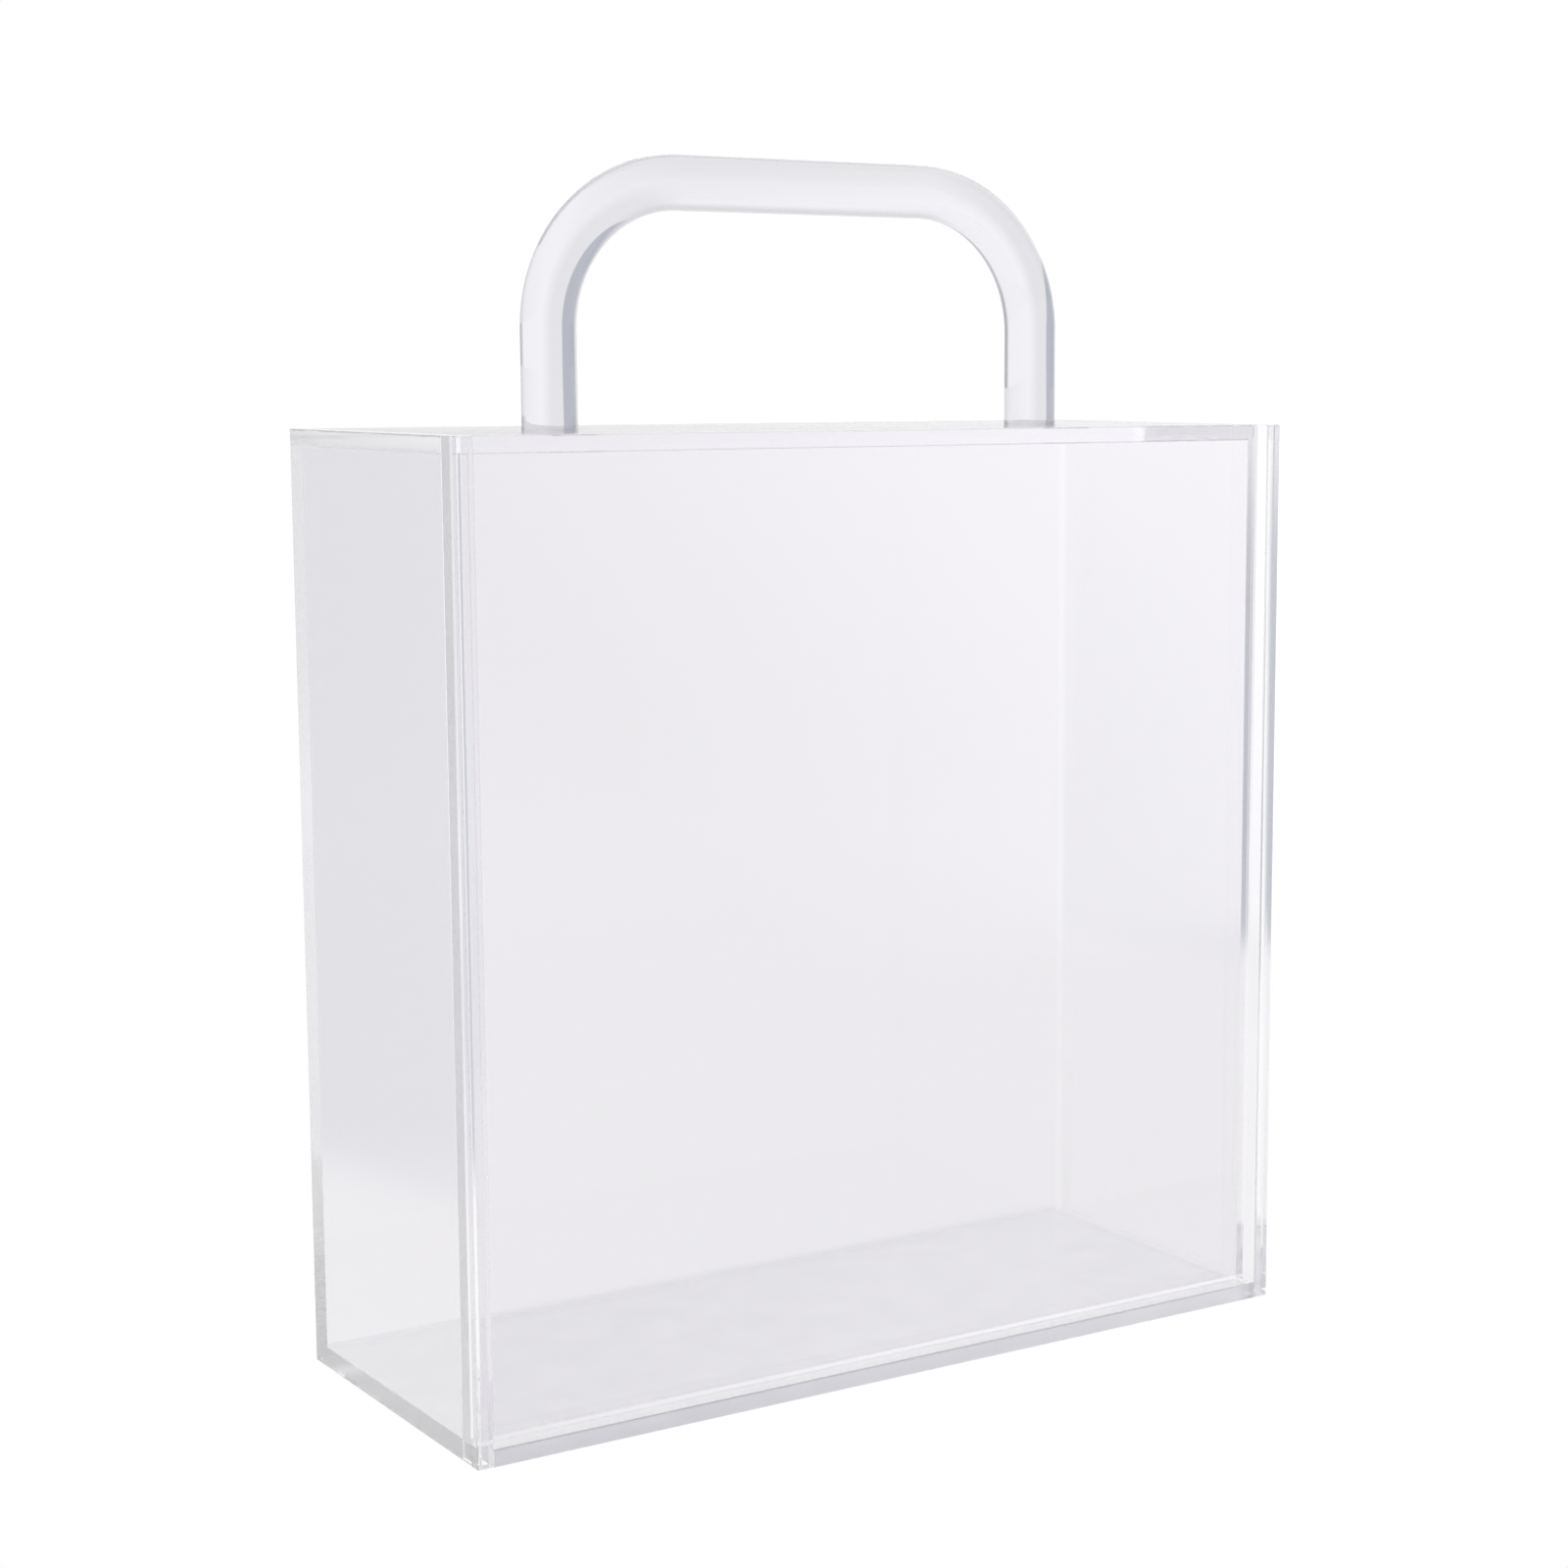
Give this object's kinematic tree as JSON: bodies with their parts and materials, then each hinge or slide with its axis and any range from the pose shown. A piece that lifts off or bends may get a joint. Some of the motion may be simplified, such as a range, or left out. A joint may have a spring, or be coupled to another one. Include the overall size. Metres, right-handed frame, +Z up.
{
  "type": "acrylic handbag",
  "caption": "Slim upright handbag of clear acrylic sheet with a front panel that slides up in grooved sides and a bent rod handle on top.",
  "frame": {"origin": "middle of the underside, on the surface that the bag stands on", "axes": "+Z up towards the handle, +X to the right as seen from the front, the sliding front panel faces -Y"},
  "size_m": [0.2, 0.08, 0.2562],
  "materials": {
    "acrylic_sheet": "clear cast acrylic sheet, flame-polished edges",
    "acrylic_rod": "clear acrylic rod, heat-bent and glossy"
  },
  "bodies": {
    "box": {"side_panel_left": "acrylic_sheet", "side_panel_right": "acrylic_sheet", "base_plate": "acrylic_sheet", "top_plate": "acrylic_sheet", "back_panel": "acrylic_sheet", "handle": "acrylic_rod"},
    "front": {"front_panel": "acrylic_sheet"}
  },
  "joints": [
    {"name": "front_slide", "type": "slide", "parent": "box", "child": "front", "axis": [0, 0, 1], "range_m": [0, 0.2]}
  ]
}
